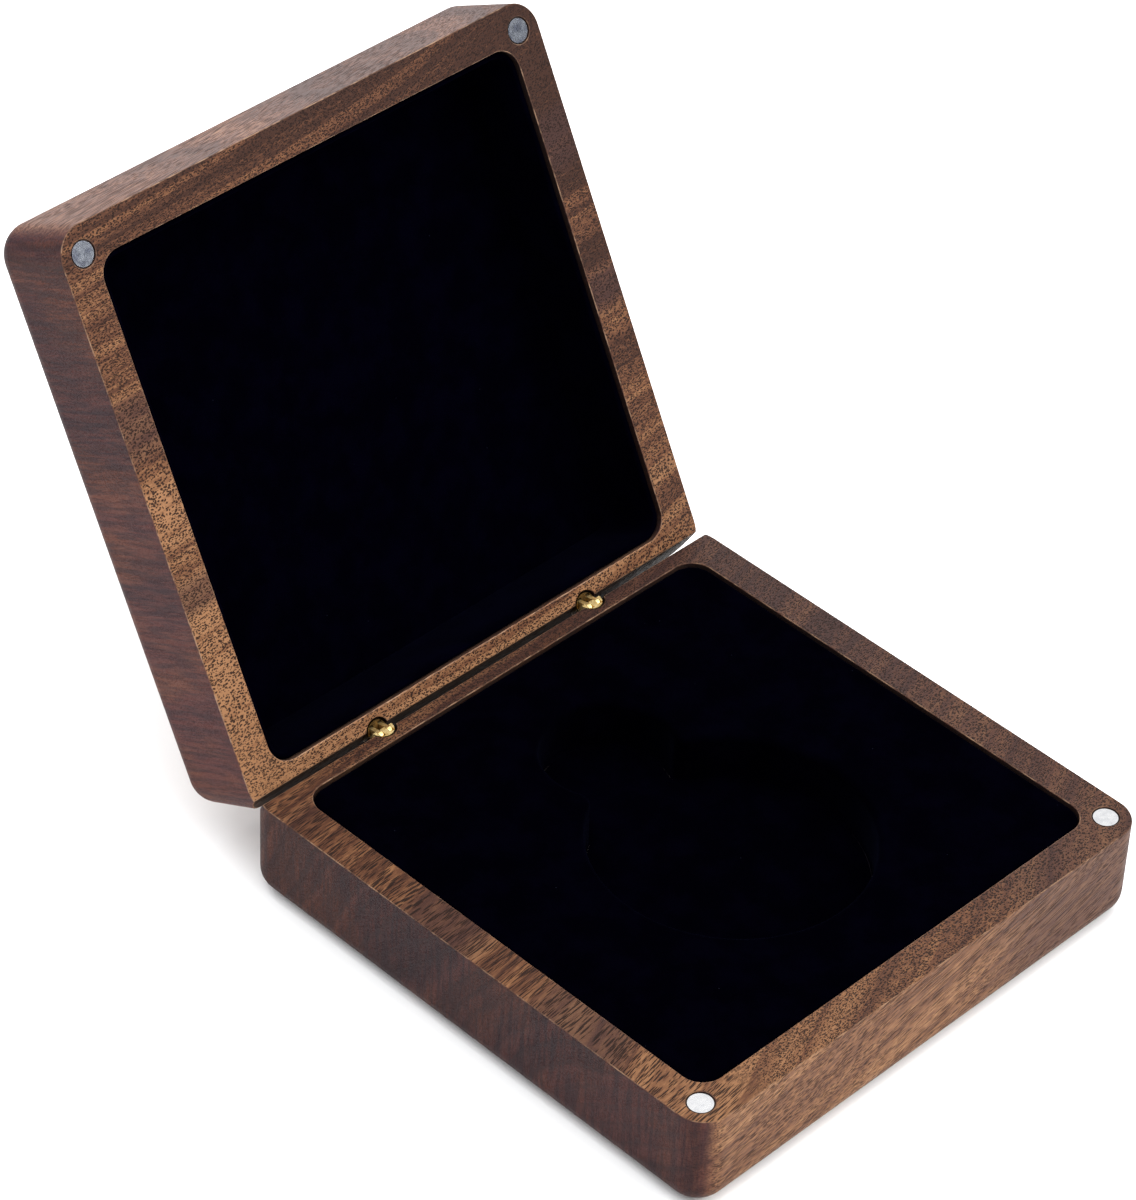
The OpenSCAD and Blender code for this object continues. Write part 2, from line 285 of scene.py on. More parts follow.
class Walnut(Shader):
    """Walnut in object space, as cut from one log. rim_z (mm) is the height of the rim."""

    def __init__(self, name, log, wood, rim_z):
        super().__init__(name)
        self.log, self.wood = log, wood
        self.where = self.vector("SCALE", self.coordinates(), scale=1 / MM)
        self.right = self.put("SeparateXYZ", {0: self.where}, "X")
        height = self.math("SUBTRACT", self.put("SeparateXYZ", {0: self.where}, "Z"), rim_z)
        self.height = self.math("ABSOLUTE", height)
        normal = self.coordinates("Normal")
        x, y, z = (self.math("ABSOLUTE", self.put("SeparateXYZ", {0: normal}, k)) for k in "XYZ")
        self.ends, self.faces = self.fade(x, 0.2, 0.7), self.fade(y, 0.6, 0.95)
        self.slope, self.upward = z, self.fade(z, 0.5, 0.9)
        self.lay_fibres()
        self.grow_years()

    def lay_fibres(self):
        """The fibres: level with slow waves, and at spot the same leaning up to the right."""
        laid = self.place(self.where, self.log["shift"], self.log["turn"])
        wave = self.place(laid, (self.log["seed"], 0, 0), scale=(0.012, 0.03, 0.03))
        wave = self.vector("SUBTRACT", self.noise(wave, 1.0, 2.0, 0.45, "Color"), (0.5, 0.5, 0.5))
        self.level = self.vector("ADD", laid, self.vector("MULTIPLY", wave, (0.0, 16.0, 7.0)))
        slant = self.math("MULTIPLY_ADD", self.right, -0.0008, -0.16)
        lean = self.math("MULTIPLY", self.right, slant)
        self.spot = self.vector("ADD", self.level, self.put("CombineXYZ", {2: lean}))
        self.fibre = self.noise(self.place(self.spot, scale=(0.12, 3.8, 3.8)), 1.0, 3.0, 0.65)
        # flecks, where the fibres dip in and out of the cut
        self.fleck = self.noise(self.place(self.spot, scale=(0.40, 2.3, 2.3)), 1.0, 2.0, 0.6)

    def grow_years(self):
        """Growth around the log's centre line: wide bands, and thin late lines."""
        along = self.put("SeparateXYZ", {0: self.spot}, "X")
        across = self.vector("SUBTRACT", self.spot, self.log["pith"])
        radius = self.vector("LENGTH", self.vector("MULTIPLY", across, (0.0, 1.0, 1.0)))
        rings = {0: self.math("MULTIPLY", along, 0.006), 1: radius, 2: self.log["seed"]}
        rings = self.put("CombineXYZ", rings)
        self.bands = self.noise(rings, 0.24, 3.0, 0.65)
        self.wide = self.noise(rings, 0.06, 1.0, 0.5)
        drawn = self.place(self.spot, scale=(0.01, 0.1, 0.1))
        year = self.math("ADD", radius, self.noise(drawn, 1.0, 1.0))
        self.phase = self.math("FRACT", self.math("DIVIDE", year, 3.1))

    def tone(self):
        """Light and dark of the wood, from 0 to 1."""
        drift = self.vector("DOT_PRODUCT", self.where, self.wood["drift"])
        drift = self.math("ADD", self.math("ADD", drift, self.wood["lift"]), 0.5)
        tone = self.math("MULTIPLY_ADD", self.math("SUBTRACT", self.bands, 0.5), 2.1, drift)
        late = self.math("MULTIPLY", self.fade(self.phase, 0.5, 0.95),
                         self.fade(self.phase, 1.0, 0.95))
        tone = self.math("MULTIPLY_ADD", late, -0.24, tone)
        calm = self.math("MULTIPLY", self.math("MAXIMUM", self.faces, self.ends), 0.3)
        tone = self.math("MULTIPLY_ADD", self.math("SUBTRACT", 0.5, tone), calm, tone)
        tone = self.math("MULTIPLY_ADD", self.math("SUBTRACT", self.fibre, 0.5), 0.85, tone)
        fleck = self.math("SUBTRACT", self.fleck, 0.5)
        return self.math("MULTIPLY_ADD", fleck, 0.85, tone, clamp=True)

    def purple(self, colour):
        """Purple heartwood: in some wide bands, and across the far right."""
        banded = self.math("MULTIPLY", self.fade(self.wide, 0.54, 0.66), 0.6)
        start = self.wood["purple_from"]
        far = self.math("MULTIPLY_ADD", self.wide, 60.0, self.right)
        far = self.fade(far, start + 24.0, start + 42.0, 0.0, 0.55)
        return self.mix(self.math("MAXIMUM", banded, far), colour, PURPLE_BAND)

    def vessels(self, spot, layers):
        """Cut vessels: for every layer their length, spacing, reach and share."""
        early = self.fade(self.phase, 0.0, 0.8, 1.0, 0.55)
        found = None
        for length, width, reach, share in layers:
            pitch = (1 / length, 1 / width, 1 / width)
            lattice = self.place(spot, (self.log["seed"] * width, 0, 0), scale=pitch)
            shape = self.fade(self.cells(lattice), reach, reach * 0.6)
            chance = self.put("SeparateColor", {0: self.cells(lattice, out="Color")}, "Red")
            kept = self.math("LESS_THAN", chance, self.math("MULTIPLY", early, share))
            layer = self.math("MULTIPLY", shape, kept)
            found = layer if found is None else self.math("MAXIMUM", found, layer)
        return found

    def pores(self):
        """Long dashes where the cut follows the vessels; on the rim, streaks or dots."""
        dashes = self.vessels(self.spot, DASHES)
        lies = self.math("MULTIPLY_ADD", self.fleck, 8.0, self.right)
        lies = self.fade(lies, self.wood["streaks_to"] + 9.0, self.wood["streaks_to"])
        streaks = self.math("MULTIPLY", self.vessels(self.level, STREAKS), lies)
        dots = self.math("MULTIPLY", self.vessels(self.spot, DOTS),
                         self.math("SUBTRACT", 1.0, lies))
        rim = self.math("MULTIPLY", self.math("MAXIMUM", streaks, dots), self.upward)
        rest = self.math("MULTIPLY", dashes, self.math("SUBTRACT", 1.0, self.upward))
        return self.math("MAXIMUM", rim, rest)

    def end_grain_and_shade(self, tone, colour):
        """End grain with the saw's fine upright streaks, darker partly because it drinks more oil
        and partly as painted shade, with a cool purple cast, on the side faces.
        """
        upright = self.noise(self.place(self.where, scale=(0.3, 1.1, 0.10)), 1.0, 4.0, 0.7)
        streaked = self.ramp(tone, WALNUT_STOPS[:4])
        drunk = self.mix(self.fade(upright, 0.40, 0.60), streaked, PURPLE_BAND)
        drunk = self.mix(0.3, drunk, colour)
        patch = self.place(self.where, (self.log["seed"], 0, 0), (24.0, 0, 0), (0.2, 0.075, 0.035))
        patch = self.fade(self.noise(patch, 1.0, 3.0, 0.55), 0.42, 0.60)
        drunk = self.mix(patch, drunk, self.mix(1.0, drunk, END_GRAIN_GOLD, "MULTIPLY"))
        # painted shade: the side faces darkened and cooled, on top of the end grain's own darker
        # tone
        return self.mix(1.0, drunk, END_GRAIN_AND_SHADE_TINT, "MULTIPLY")

    def painted_edge_highlight(self):
        """Painted highlight along the sanded edges of the rim, broken up by noise, where they would
        catch the light.
        """
        broken_along_edge = self.fade(self.noise(self.where, 0.35, 3.0, 0.7), 0.42, 0.66, 0.12, 0.75)
        edge = self.math("MULTIPLY", self.fade(self.slope, 0.20, 0.45),
                         self.fade(self.slope, 0.985, 0.93))
        edge = self.math("MULTIPLY", edge, self.fade(self.height, 0.30, 0.18))
        return self.math("MULTIPLY", edge, broken_along_edge)

    def painted_inside_shade(self):
        """Painted shade on the bores, pocket walls and rear bevels: darkens what lies below the
        rim, inside the block's outline.
        """
        hull = self.vector("ABSOLUTE", self.vector("MULTIPLY", self.where, (1.0, 1.0, 0.0)))
        hull = self.vector("SUBTRACT", hull, (BOX_W / 2 - CORNER_R, BOX_D / 2 - CORNER_R, 0.0))
        hull = self.vector("LENGTH", self.vector("MAXIMUM", hull, (0.0, 0.0, 0.0)))
        inside = self.fade(hull, CORNER_R - 0.15, CORNER_R - 0.3, 0.0, INSIDE_SHADE_STRENGTH)
        near = self.math("MULTIPLY", self.fade(self.height, 0.12, 0.3),
                         self.fade(self.height, 9.0, 7.0))
        return self.math("MULTIPLY", near, inside)

    def build(self):
        tone, pores = self.tone(), self.pores()
        colour = self.purple(self.ramp(tone, WALNUT_STOPS))
        depth = self.math("MULTIPLY", self.fade(self.ends, 0.0, 1.0, 1.0, 0.4),
                          self.fade(self.upward, 0.0, 1.0, 0.74, 0.95))
        colour = self.mix(self.math("MULTIPLY", pores, depth), colour, PORE_COLOUR)
        # the side faces take the end grain, darkened partly by painted shade
        colour = self.mix(self.ends, colour, self.end_grain_and_shade(tone, colour))
        # painted sheen: the front and rear faces lightened and whitened
        painted_sheen = self.mix(1.0, colour, self.wood["face_sheen_tint"], "MULTIPLY")
        colour = self.mix(self.faces, colour, painted_sheen)
        # painted highlight along the rims' edges
        colour = self.mix(self.painted_edge_highlight(), colour, EDGE_HIGHLIGHT_PAINT)
        colour = self.mix(1.0, colour, self.wood["tint"], "MULTIPLY")
        # painted shade in the bores, pocket walls and rear bevels
        colour = self.mix(self.painted_inside_shade(), colour, INSIDE_SHADE_COLOUR)
        rough = self.math("MULTIPLY_ADD", pores, 0.2, self.fade(self.fibre, 0.3, 0.7, 0.46, 0.56))
        relief = self.math("MULTIPLY_ADD", pores, -1.0, self.math("MULTIPLY", self.fibre, 0.25))
        return self.finish(Base_Color=colour, Roughness=rough, Specular_IOR_Level=0.14,
                           Normal=self.bump(relief, 0.00006, 0.6))


# ------------------------------------------------------------------ velvet, card and foam

def velvet(name, seed, colour):
    s = Shader(name)
    spot = s.vector("SCALE", s.coordinates(), scale=1 / MM)
    spot = s.place(spot, (seed, seed, 0))
    nap = s.noise(spot, 0.16, 3.0, 0.6)
    fuzz = s.noise(spot, 7.0, 2.0, 0.7)
    dark = s.mix(s.fade(nap, 0.35, 0.7), colour, tuple(2.1 * c for c in colour))
    dark = s.mix(s.fade(fuzz, 0.5, 0.8, 0.0, 0.6), dark, tuple(3.4 * c for c in colour))
    lint = s.math("LESS_THAN", s.cells(spot, 0.42), 0.035)
    chance = s.put("SeparateColor", {0: s.cells(spot, 0.42, "Color")}, "Red")
    lint = s.math("MULTIPLY", lint, s.math("LESS_THAN", chance, 0.10))
    dark = s.mix(s.math("MULTIPLY", lint, 0.4), dark, (0.014, 0.015, 0.025))
    return s.finish(Base_Color=dark, Roughness=1.0, Specular_IOR_Level=0.0,
                    Sheen_Weight=0.009, Sheen_Roughness=0.30, Sheen_Tint=(0.35, 0.4, 1.0),
                    Normal=s.bump(fuzz, 0.0002, 0.5))


def foam_material():
    s = Shader("foam_grey")
    spot = s.vector("SCALE", s.coordinates(), scale=1 / MM)
    cells = s.cells(spot, 2.2)
    colour = s.ramp(cells, [(0.1, (0.012, 0.012, 0.015)), (0.8, (0.035, 0.035, 0.042))])
    return s.finish(Base_Color=colour, Roughness=0.95, Normal=s.bump(cells, 0.0003, 0.8))


def card_material():
    s = Shader("grey_card")
    spot = s.vector("SCALE", s.coordinates(), scale=1 / MM)
    fibres = s.noise(s.place(spot, scale=(0.6, 2.4, 2.4)), 1.0, 4.0, 0.65)
    colour = s.ramp(fibres, [(0.3, (0.060, 0.050, 0.042)), (0.7, (0.125, 0.108, 0.092))])
    return s.finish(Base_Color=colour, Roughness=0.85, Normal=s.bump(fibres, 0.0001, 0.6))


# ------------------------------------------------------------------ metals

def metal(name, bright, dull, rough, grain, scratch, relief=0.35):
    """Clouded metal; grain is the density of the tool marks along X, Y and Z."""
    s = Shader(name)
    spot = s.vector("SCALE", s.coordinates(), scale=1 / MM)
    cloud = s.noise(spot, 0.9, 3.0, 0.6)
    turned = s.noise(s.place(spot, scale=grain), 1.0, 3.0, 0.7)
    colour = s.mix(s.fade(cloud, 0.35, 0.7), bright, dull)
    shine = s.math("MULTIPLY_ADD", s.math("SUBTRACT", turned, 0.5), scratch, rough)
    return s.finish(Base_Color=colour, Metallic=1.0, Roughness=shine,
                    Normal=s.bump(turned, 0.00002, relief))


# ------------------------------------------------------------------ mesh helpers

CORNER_STEPS = 12        # facets around an upright corner
ROUND_STEPS = 9          # around the round-over
ARRIS_STEPS = 3          # around a sanded edge
BORE_STEPS = 64          # around a bore


def rounded_loop(w, d, r, z):
    """Outline of a w by d rectangle with corner radius r at height z, counter-clockwise."""
    loop = []
    for k, (sx, sy) in enumerate(((1, -1), (1, 1), (-1, 1), (-1, -1))):
        cx, cy = sx * (w / 2 - r), sy * (d / 2 - r)
        for i in range(CORNER_STEPS + 1):
            a = math.radians(90 * (k - 1 + i / CORNER_STEPS))
            loop.append((cx + r * math.cos(a), cy + r * math.sin(a), z))
    return loop


def skin(loops, cap_first=True, cap_last=True):
    """bmesh of quads between successive closed loops of equal length, with flat caps."""
    bm = bmesh.new()
    rows = [[bm.verts.new(p) for p in loop] for loop in loops]
    n = len(rows[0])
    for low, high in zip(rows, rows[1:]):
        for i in range(n):
            j = (i + 1) % n
            bm.faces.new((low[i], low[j], high[j], high[i]))
    if cap_first:
        bm.faces.new(reversed(rows[0]))
    if cap_last:
        bm.faces.new(rows[-1])
    return bm


def add_object(name, bm, scale=MM):
    """Turns a bmesh into an object; the default scale takes it from millimetres to metres."""
    mesh = bpy.data.meshes.new(name)
    bm.to_mesh(mesh)
    bm.free()
    mesh.transform(Matrix.Scale(scale, 4))
    mesh.update()
    obj = bpy.data.objects.new(name, mesh)
    bpy.context.scene.collection.objects.link(obj)
    return obj


def smooth(obj, sharp_angle, weighted=False):
    mesh = obj.data
    mesh.polygons.foreach_set("use_smooth", [True] * len(mesh.polygons))
    mesh.set_sharp_from_angle(angle=math.radians(sharp_angle))
    if weighted:
        modifier = obj.modifiers.new("normals", "WEIGHTED_NORMAL")
        modifier.keep_sharp = True
        modifier.weight = 100


def settle(obj, body, material, nodes, in_lid=False):
    """Gives a new piece its material, its place and its body, and hides the CAD nodes it stands
    for.
    """
    obj.data.materials.clear()
    obj.data.materials.append(material)
    if in_lid:
        obj.matrix_world = LID_OPEN
    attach(obj, body)
    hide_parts(*nodes)


def apply_modifiers(obj):
    bpy.context.view_layer.update()
    graph = bpy.context.evaluated_depsgraph_get()
    mesh = bpy.data.meshes.new_from_object(obj.evaluated_get(graph))
    obj.modifiers.clear()
    obj.data = mesh


# ------------------------------------------------------------------ the two blocks

def block_bmesh(pocket):
    """A milled block drawn as the base, underside at 0, with sanded rims."""
    loops = []
    for i in range(ROUND_STEPS + 1):
        a = math.radians(90 * i / ROUND_STEPS)
        inset = EDGE_R * (1 - math.sin(a))
        loops.append(rounded_loop(BOX_W - 2 * inset, BOX_D - 2 * inset, CORNER_R - inset,
                                  EDGE_R * (1 - math.cos(a))))
    for i in range(ARRIS_STEPS + 1):
        a = math.radians(90 * i / ARRIS_STEPS)
        inset = ARRIS * (1 - math.cos(a))
        loops.append(rounded_loop(BOX_W - 2 * inset, BOX_D - 2 * inset, CORNER_R - inset,
                                  BLOCK_H - ARRIS * (1 - math.sin(a))))
    for i in range(ARRIS_STEPS + 1):
        a = math.radians(90 * i / ARRIS_STEPS)
        out = ARRIS * (1 - math.sin(a))
        loops.append(rounded_loop(POCKET_W + 2 * out, POCKET_D + 2 * out, POCKET_R + out,
                                  BLOCK_H - ARRIS * (1 - math.cos(a))))
    loops.append(rounded_loop(POCKET_W, POCKET_D, POCKET_R, BLOCK_H - pocket))
    bm = skin(loops)
    bmesh.ops.recalc_face_normals(bm, faces=bm.faces)
    return bm


def cut_rear_bevel(bm):
    """Cuts the bevel off the back of the rim and softens its edges."""
    slope = math.atan2(BEVEL_ALONG, BEVEL_IN)
    out = Vector((0, math.sin(slope), math.cos(slope)))
    at = Vector((0, BOX_D / 2 - BEVEL_IN, BLOCK_H))
    whole = bm.verts[:] + bm.edges[:] + bm.faces[:]
    cut = bmesh.ops.bisect_plane(bm, geom=whole, plane_co=at, plane_no=out, clear_outer=True,
                                 dist=1e-5)
    rim = [e for e in cut["geom_cut"] if isinstance(e, bmesh.types.BMEdge)]
    bmesh.ops.edgenet_fill(bm, edges=rim)
    bmesh.ops.remove_doubles(bm, verts=bm.verts[:], dist=1e-4)
    rim = [e for e in bm.edges if len(e.link_faces) == 2
           and all(abs((v.co - at).dot(out)) < 1e-3 for v in e.verts)
           and e.calc_face_angle(0) > math.radians(15)]
    bmesh.ops.bevel(bm, geom=rim, offset=ARRIS * 0.7, segments=2, profile=0.5,
                    affect="EDGES", clamp_overlap=True)
    bmesh.ops.recalc_face_normals(bm, faces=bm.faces)


def bore_cutter(x, y, r, depth, ring_w, ring_depth):
    """Closed lathe solid that cuts a bore with its ring and a sanded mouth."""
    over, flare = 1.0, 0.12
    profile = [(r, BLOCK_H - depth), (r, BLOCK_H - ring_depth),
               (r + ring_w, BLOCK_H - ring_depth), (r + ring_w, BLOCK_H - flare),
               (r + ring_w + flare, BLOCK_H), (r + ring_w + flare, BLOCK_H + over)]
    turns = [2 * math.pi * i / BORE_STEPS for i in range(BORE_STEPS)]
    loops = [[(x + q * math.cos(a), y + q * math.sin(a), z) for a in turns] for q, z in profile]
    bm = skin(loops)
    bmesh.ops.recalc_face_normals(bm, faces=bm.faces)
    return bm


def wooden_block(name, pocket, lid):
    """A whole block with its bores, drawn shut; the lid is the base's shape turned over."""
    bm = block_bmesh(pocket)
    cut_rear_bevel(bm)
    obj = add_object(name, bm, 1.0)
    cutters = []
    for node, ring in RINGS.items():
        for side in ("left", "right"):
            low, high = box_mm(f"base_{node}_{side}")
            x = (low.x + high.x) / 2
            r = (high.x - low.x) / 2
            y = low.y + r
            cutter = bore_cutter(x, y, r, BLOCK_H - low.z, *ring)
            cutter = add_object(f"cut_{node}_{side}", cutter, 1.0)
            modifier = obj.modifiers.new(node + side, "BOOLEAN")
            modifier.object, modifier.operation, modifier.solver = cutter, "DIFFERENCE", "EXACT"
            cutters.append(cutter)
    apply_modifiers(obj)
    for cutter in cutters:
        bpy.data.objects.remove(cutter)
    if lid:
        turned = Matrix.Translation((0, 0, BLOCK_H + LID_FACE)) @ Matrix.Diagonal((1, 1, -1, 1))
        obj.data.transform(turned)
        obj.data.flip_normals()
    obj.data.transform(Matrix.Scale(MM, 4))
    smooth(obj, 42, weighted=True)
    return obj


# ------------------------------------------------------------------ the recess's outline

KEY_SAMPLES = 360
key_eye = Vector((0.0, (KEY_CASE_Y + KEY_CASE_R + KEY_CROWN_Y - KEY_CROWN_R) / 2))


def keyhole_outline():
    """Points and outward normals of the recess's edge, evenly spaced, counter-clockwise."""
    gap = KEY_CROWN_Y - KEY_CASE_Y
    a, b = KEY_CASE_R + KEY_FILLET, KEY_CROWN_R + KEY_FILLET
    y = (a * a - b * b + gap * gap) / (2 * gap)
    fx, fy = math.sqrt(a * a - y * y), KEY_CASE_Y + y
    from_case = math.atan2(fy - KEY_CASE_Y, fx)
    from_crown = math.atan2(fy - KEY_CROWN_Y, fx)
    fine = 400
    half = []
    for t in np.linspace(-math.pi / 2, from_case, fine):
        half.append((KEY_CASE_R * math.cos(t), KEY_CASE_Y + KEY_CASE_R * math.sin(t)))
    start, end = from_case + math.pi, from_crown + math.pi
    for t in np.linspace(start, end, fine // 4):
        half.append((fx + KEY_FILLET * math.cos(t), fy + KEY_FILLET * math.sin(t)))
    for t in np.linspace(from_crown, math.pi / 2, fine):
        half.append((KEY_CROWN_R * math.cos(t), KEY_CROWN_Y + KEY_CROWN_R * math.sin(t)))
    right = np.array(half)
    whole = np.concatenate([right, (right * (-1, 1))[::-1]])
    ring = np.concatenate([whole, whole[:1]])
    run = np.concatenate([[0], np.cumsum(np.linalg.norm(np.diff(ring, axis=0), axis=1))])
    at = np.linspace(0, run[-1], KEY_SAMPLES, endpoint=False)
    points = np.stack([np.interp(at, run, ring[:, k]) for k in (0, 1)], axis=1)
    tangent = np.roll(points, -1, axis=0) - np.roll(points, 1, axis=0)
    tangent /= np.linalg.norm(tangent, axis=1)[:, None]
    return points, np.stack([tangent[:, 1], -tangent[:, 0]], axis=1)


KEY_POINTS, KEY_NORMALS = keyhole_outline()


def key_loop(grow, z):
    return [(*p, z) for p in KEY_POINTS + grow * KEY_NORMALS]


def key_scaled(share, inset, z):
    eye = np.array(key_eye)
    points = KEY_POINTS - inset * KEY_NORMALS
    return [(*(eye + share * (p - eye)), z) for p in points]


def lining_loop(inset, z):
    """The pocket's lining outline, inset, met by rays from the recess's middle."""
    w, d, r = LINING_W / 2 - inset, LINING_D / 2 - inset, max(LINING_R - inset, 0.4)
    eye = np.array(key_eye)
    way = KEY_POINTS - eye
    way /= np.linalg.norm(way, axis=1)[:, None]
    low, high = np.zeros(len(way)), np.full(len(way), 2.0 * LINING_W)
    for _ in range(50):
        middle = (low + high) / 2
        q = np.abs(eye + middle[:, None] * way) - (w - r, d - r)
        out = (np.linalg.norm(np.maximum(q, 0), axis=1) + np.minimum(q.max(axis=1), 0) - r) > 0
        high, low = np.where(out, middle, high), np.where(out, low, middle)
    return [(*p, z) for p in eye + low[:, None] * way]


def between(a, b, t):
    return [tuple(Vector(p).lerp(Vector(q), t)) for p, q in zip(a, b)]


def ripple(bm, low, high, amount, size, seed):
    """Small soft unevenness of the faces that look up, between two heights."""
    for v in bm.verts:
        if low <= v.co.z <= high:
            v.co.z += amount * (noise.noise(Vector((v.co.x / size, v.co.y / size, seed))) - 0.5)


def solidify(obj):
    """Gives a cloth its thickness, behind its visible face."""
    modifier = obj.modifiers.new("cloth", "SOLIDIFY")
    modifier.thickness, modifier.offset = VELVET_T * MM, -1
    apply_modifiers(obj)


# ------------------------------------------------------------------ linings of the base

ROLL_R = 1.3             # soft roll of the velvet into the recess
TUCK = 2.3               # how far its outer edge turns down against the wood


def insert_top_piece(material):
    top = INSERT_TOP
    loops = [lining_loop(0.02, top - TUCK), lining_loop(0.02, top - 0.9),
             lining_loop(0.06, top - 0.5), lining_loop(0.18, top - 0.22),
             lining_loop(0.42, top - 0.06), lining_loop(0.8, top)]
    outer, inner = loops[-1], key_loop(ROLL_R + 0.5, top)
    loops += [between(outer, inner, t) for t in (0.06, 0.14, 0.26, 0.4, 0.55, 0.7, 0.83, 0.93)]
    loops.append(inner)
    for i in range(7):
        a = math.radians(90 * i / 6)
        loops.append(key_loop(ROLL_R * (1 - math.sin(a)), top - ROLL_R * (1 - math.cos(a))))
    bm = skin(loops, False, False)
    ripple(bm, top - 0.01, top + 0.01, 0.12, 14.0, 3.1)
    obj = add_object("velvet_insert_top", bm)
    solidify(obj)
    smooth(obj, 60)
    settle(obj, "base", material, ["insert_velvet"])


def recess_wall_piece(material):
    top, low = INSERT_TOP - ROLL_R - 0.02, FLOOR_TOP + 0.02
    loops = [key_loop(0.0, top + (low - top) * t) for t in (0, 0.2, 0.4, 0.6, 0.8)]
    loops += [key_loop(-0.03, low + 0.35), key_loop(-0.12, low + 0.1), key_loop(-0.3, low)]
    obj = add_object("velvet_recess_wall", skin(loops, False, False))
    solidify(obj)
    smooth(obj, 60)
    settle(obj, "base", material, ["recess_wall_velvet"])


def recess_floor_piece(material):
    loops = [key_scaled(share, 0.34, FLOOR_TOP)
             for share in (1.0, 0.96, 0.88, 0.76, 0.62, 0.46, 0.3, 0.14)]
    bm = skin(loops, False, True)
    ripple(bm, FLOOR_TOP - 0.01, FLOOR_TOP + 0.01, 0.1, 9.0, 7.7)
    obj = add_object("velvet_recess_floor", bm)
    solidify(obj)
    smooth(obj, 60)
    settle(obj, "base", material, ["recess_floor_velvet"])


def foam_pad(material):
    inset, soft = 0.65, 0.5
    low, high = FOAM_LOW + 0.02, FOAM_HIGH - 0.02
    grow = VELVET_T + 0.1
    loops = [lining_loop(inset, low), lining_loop(inset, high - soft),
             lining_loop(inset + 0.3 * soft, high - 0.3 * soft), lining_loop(inset + soft, high),
             key_loop(grow + ROLL_R + soft, high),
             key_loop(grow + 0.5 * ROLL_R, high - 0.35 * ROLL_R),
             key_loop(grow + 0.1, high - ROLL_R),
             key_loop(grow, high - ROLL_R - 0.6), key_loop(grow, low)]
    bm = skin(loops, False, False)
    bm.verts.ensure_lookup_table()
    n, last = KEY_SAMPLES, (len(loops) - 1) * KEY_SAMPLES
    for i in range(n):
        j = (i + 1) % n
        bm.faces.new((bm.verts[i], bm.verts[last + i], bm.verts[last + j], bm.verts[j]))
    bmesh.ops.recalc_face_normals(bm, faces=bm.faces)
    obj = add_object("insert_foam_pad", bm)
    smooth(obj, 50)
    settle(obj, "base", material, ["insert_foam"])


# ------------------------------------------------------------------ linings of the lid

def lid_panel_piece(material):
    z = LID_FACE + HOLLOW
    loops = [rounded_loop(LINING_W - 0.1, LINING_D - 0.1, LINING_R - 0.05, z + 0.08)]
    for inset in (1.0, 1.6, 2.6, 5.0, 10.0, 16.0, 22.0, 28.0, 34.0, 39.0):
        r = max(LINING_R - inset, 0.8)
        loops.append(rounded_loop(LINING_W - 2 * inset, LINING_D - 2 * inset, r, z + 0.02))
    bm = skin(loops, False, True)
    for f in bm.faces:
        f.normal_flip()
    obj = add_object("velvet_lid_panel", bm)
    solidify(obj)
    smooth(obj, 60)
    settle(obj, "lid", material, ["lid_panel_velvet"], True)


def strip_path(side):
    """Points and inward normals along the wall that a strip lines."""
    w, d, r = LINING_W / 2, LINING_D / 2, LINING_R
    gap = 0.03
    if side in ("left", "right"):
        x = w if side == "right" else -w
        ys = np.linspace(-(d - r) + gap, d - r - gap, 24)
        if side == "left":
            ys = ys[::-1]
        return [((x, y), (-np.sign(x), 0.0)) for y in ys]
    y_sign = -1 if side == "front" else 1
    path = []
    for k in (-1, 1):
        centre = (k * (w - r), y_sign * (d - r))
        for i in range(CORNER_STEPS + 1):
            t = i / CORNER_STEPS if k == -1 else 1 - i / CORNER_STEPS
            a = math.radians(90 * t)
            n = (k * math.cos(a), y_sign * math.sin(a))
            path.append(((centre[0] + r * n[0], centre[1] + r * n[1]), (-n[0], -n[1])))
        if k == -1:
            for x in np.linspace(-(w - r), w - r, 26)[1:-1]:
                path.append(((x, y_sign * d), (0.0, -y_sign)))
    return path if side == "front" else path[::-1]


def strip_piece(side, material):
    """One velvet-wrapped strip: a rounded section carried along its wall."""
    low, high, soft = STRIP_DROP, HOLLOW - 0.02, 0.45
    section = [(0.02, high), (0.02, low + soft)]
    for i in range(1, 7):
        a = math.radians(180 * i / 7)
        out = STRIP_T / 2 - (STRIP_T / 2 - 0.02) * math.cos(a)
        section.append((out, low + soft * (1 - math.sin(a))))
    section += [(STRIP_T, low + soft), (STRIP_T, low + 3.0), (STRIP_T, high - 3.0), (STRIP_T, high)]
    path = strip_path(side)
    loops = []
    for (x, y), (nx, ny) in path:
        loops.append([(x + nx * u, y + ny * u, LID_FACE + depth) for u, depth in section])
    bm = skin(loops)
    bmesh.ops.recalc_face_normals(bm, faces=bm.faces)
    obj = add_object(f"velvet_lid_strip_{side}", bm)
    smooth(obj, 50)
    settle(obj, "lid", material, [f"lid_strip_{side}"], True)


# ------------------------------------------------------------------ CAD nodes that stay

def dress(node, material, bevel=0.0, segments=2):
    """Puts a material on a CAD node, and softens its edges with a modifier."""
    obj = frame["nodes"][node]
    obj.data.materials.clear()
    obj.data.materials.append(material)
    for slot in obj.material_slots:
        slot.material = material
    if bevel:
        modifier = obj.modifiers.new("edge", "BEVEL")
        modifier.width, modifier.segments = bevel * MM, segments
        modifier.limit_method, modifier.angle_limit = "ANGLE", math.radians(50)
        modifier.use_clamp_overlap = True
        modifier.harden_normals = False


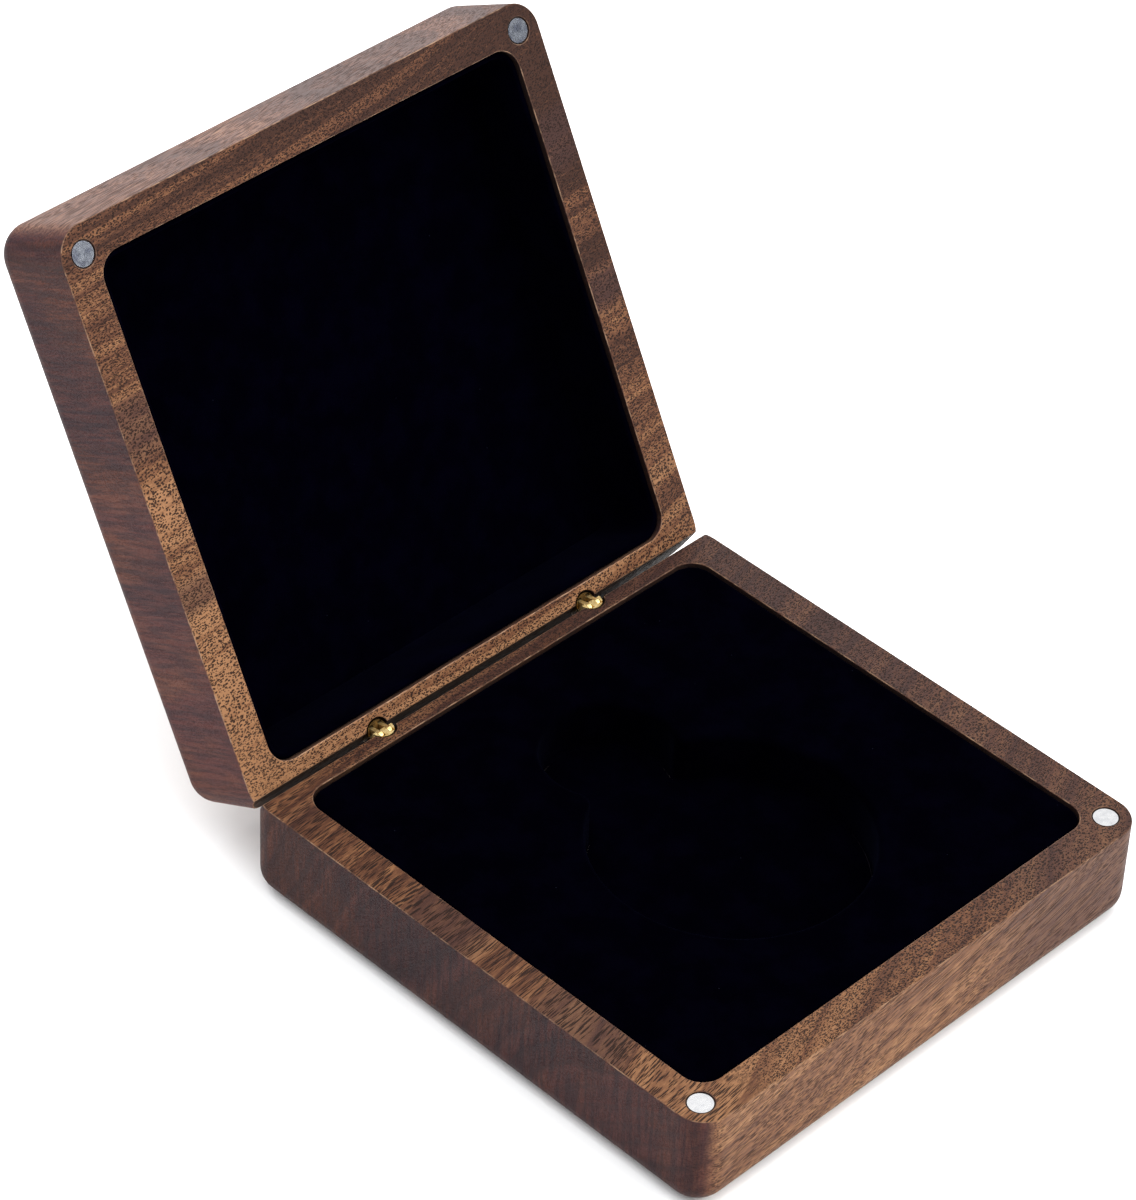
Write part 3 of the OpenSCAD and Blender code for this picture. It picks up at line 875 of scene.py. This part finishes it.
def add_floor():
    s = Shader("pale_floor")
    spot = s.coordinates()
    haze = s.noise(spot, 0.8, 2.0)
    colour = s.ramp(haze, [(0.2, (0.90, 0.90, 0.90)), (0.8, (0.92, 0.92, 0.92))])
    material = s.finish(Base_Color=colour, Roughness=0.9, Specular_IOR_Level=0.1)
    half = FLOOR_SIZE / 2
    bm = bmesh.new()
    corners = ((-half, -half, 0), (half, -half, 0), (half, half, 0), (-half, half, 0))
    bm.faces.new([bm.verts.new(p) for p in corners])
    floor = add_object("floor", bm, 1.0)
    floor.location.z = -FLOOR_DROP
    floor.data.materials.append(material)


# ------------------------------------------------------------------ building

add_camera()
add_lights()
add_floor()

base_wood = Walnut("walnut_base", BASE_LOG, BASE_WOOD, BLOCK_H).build()
lid_wood = Walnut("walnut_lid", LID_LOG, LID_WOOD, LID_FACE).build()
base_block = wooden_block("base_block_walnut", BASE_POCKET, False)
lid_block = wooden_block("lid_block_walnut", LID_POCKET, True)
settle(base_block, "base", base_wood, ["base_block"])
settle(lid_block, "lid", lid_wood, ["lid_block"], True)

base_velvet = velvet("velvet_base", 5.0, (0.00015, 0.00011, 0.00064))
lid_velvet = velvet("velvet_lid", 31.0, (0.00018, 0.00013, 0.00092))
foam_pad(foam_material())
insert_top_piece(base_velvet)
recess_wall_piece(base_velvet)
recess_floor_piece(base_velvet)
lid_panel_piece(lid_velvet)
for side in ("front", "rear", "left", "right"):
    strip_piece(side, lid_velvet)

card = card_material()
TURNED_Z, TURNED_X, CAST = (1.0, 1.0, 9.0), (9.0, 1.0, 1.0), (2.0, 2.0, 1.0)
brass = metal("brass_turned", (0.90, 0.70, 0.33), (0.70, 0.47, 0.17), 0.42, TURNED_Z, 0.3)
# a darker copy of the brass for the lid's barrels: painted shade
shaded_brass = metal("brass_painted_shade", (0.095, 0.058, 0.020), (0.050, 0.030, 0.011), 0.45, TURNED_Z, 0.3)
steel = metal("steel_pin", (0.62, 0.60, 0.57), (0.42, 0.40, 0.38), 0.30, TURNED_X, 0.3)
nickel = metal("nickel_plate", (0.72, 0.715, 0.71), (0.62, 0.62, 0.63), 0.24, CAST, 0.1, 0.05)
# a darker, bluer copy of the nickel for the lid's magnets: painted shade in their reflection
shaded_nickel = metal("nickel_painted_shade", (0.34, 0.37, 0.43), (0.18, 0.20, 0.26), 0.22, CAST, 0.1, 0.05)
dress("insert_backing", card)
dress("lid_panel_card", card)
for side in ("left", "right"):
    for part in ("base", "lid"):
        # the lid's magnets and barrels take the darker copies: painted shade
        dress(f"{part}_magnet_{side}", nickel if part == "base" else shaded_nickel, 0.22, 3)
        dress(f"{part}_barrel_{side}", brass if part == "base" else shaded_brass, 0.08)
        dress(f"{part}_pin_{side}", steel)
    for place in ("outer", "inner"):
        dress(f"link_{side}_{place}", brass, 0.06)
